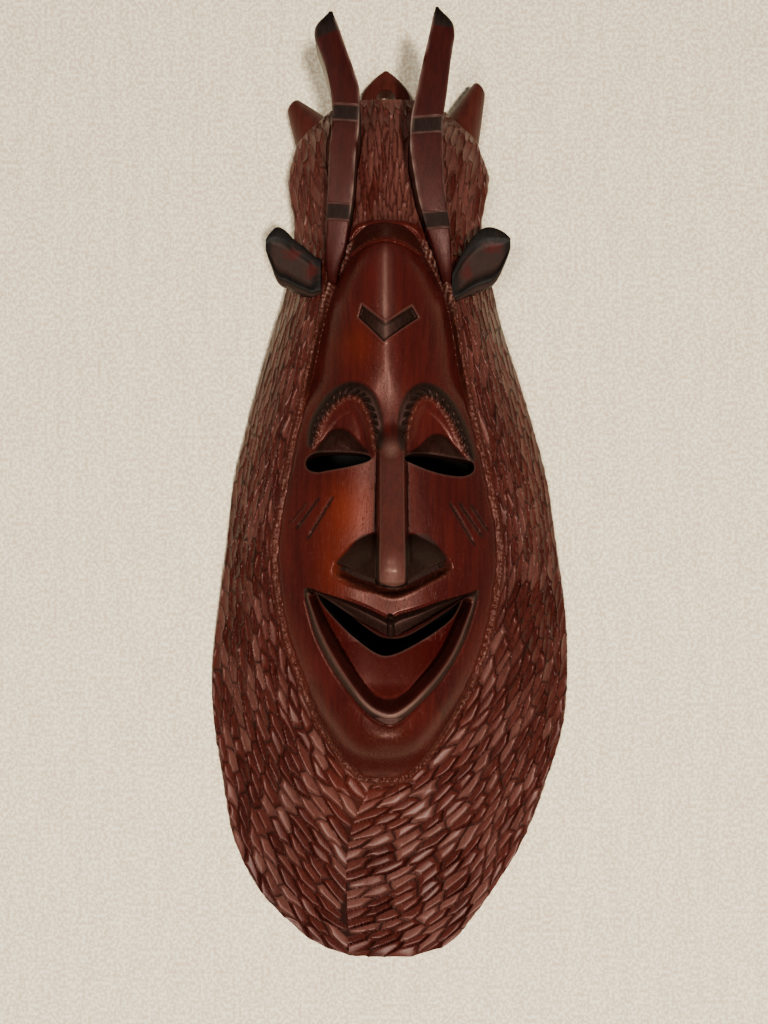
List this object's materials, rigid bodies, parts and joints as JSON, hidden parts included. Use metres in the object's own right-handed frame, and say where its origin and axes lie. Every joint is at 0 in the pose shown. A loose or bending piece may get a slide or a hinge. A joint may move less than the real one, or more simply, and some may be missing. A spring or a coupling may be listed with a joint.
{
  "type": "carved wooden wall mask",
  "caption": "Long carved wooden wall mask with a bearded smiling face, eye slits, horns, animal ears and a hanging loop, stained and polished.",
  "frame": {"origin": "middle of the flat back, halfway between the beard tip and the tip of the hanging loop", "axes": "+Y along the mask towards the horns, +Z out of the face, +X across to the right as one looks at the face"},
  "size_m": [0.2001, 0.4957, 0.086],
  "materials": {
    "stained_wood": "red-brown stain under a satin wax polish, glossy on the face and tooled on the hair",
    "horn_wood": "dark wine-red polish with near-black painted bands and tips",
    "darkened_wood": "brown-black stain, rubbed through to red in patches"
  },
  "bodies": {
    "root": {"mask_body": "stained_wood", "left_horn": "horn_wood", "right_horn": "horn_wood", "left_side_horn": "stained_wood", "right_side_horn": "stained_wood", "left_ear": "darkened_wood", "right_ear": "darkened_wood", "hanging_loop": "stained_wood"}
  },
  "joints": []
}
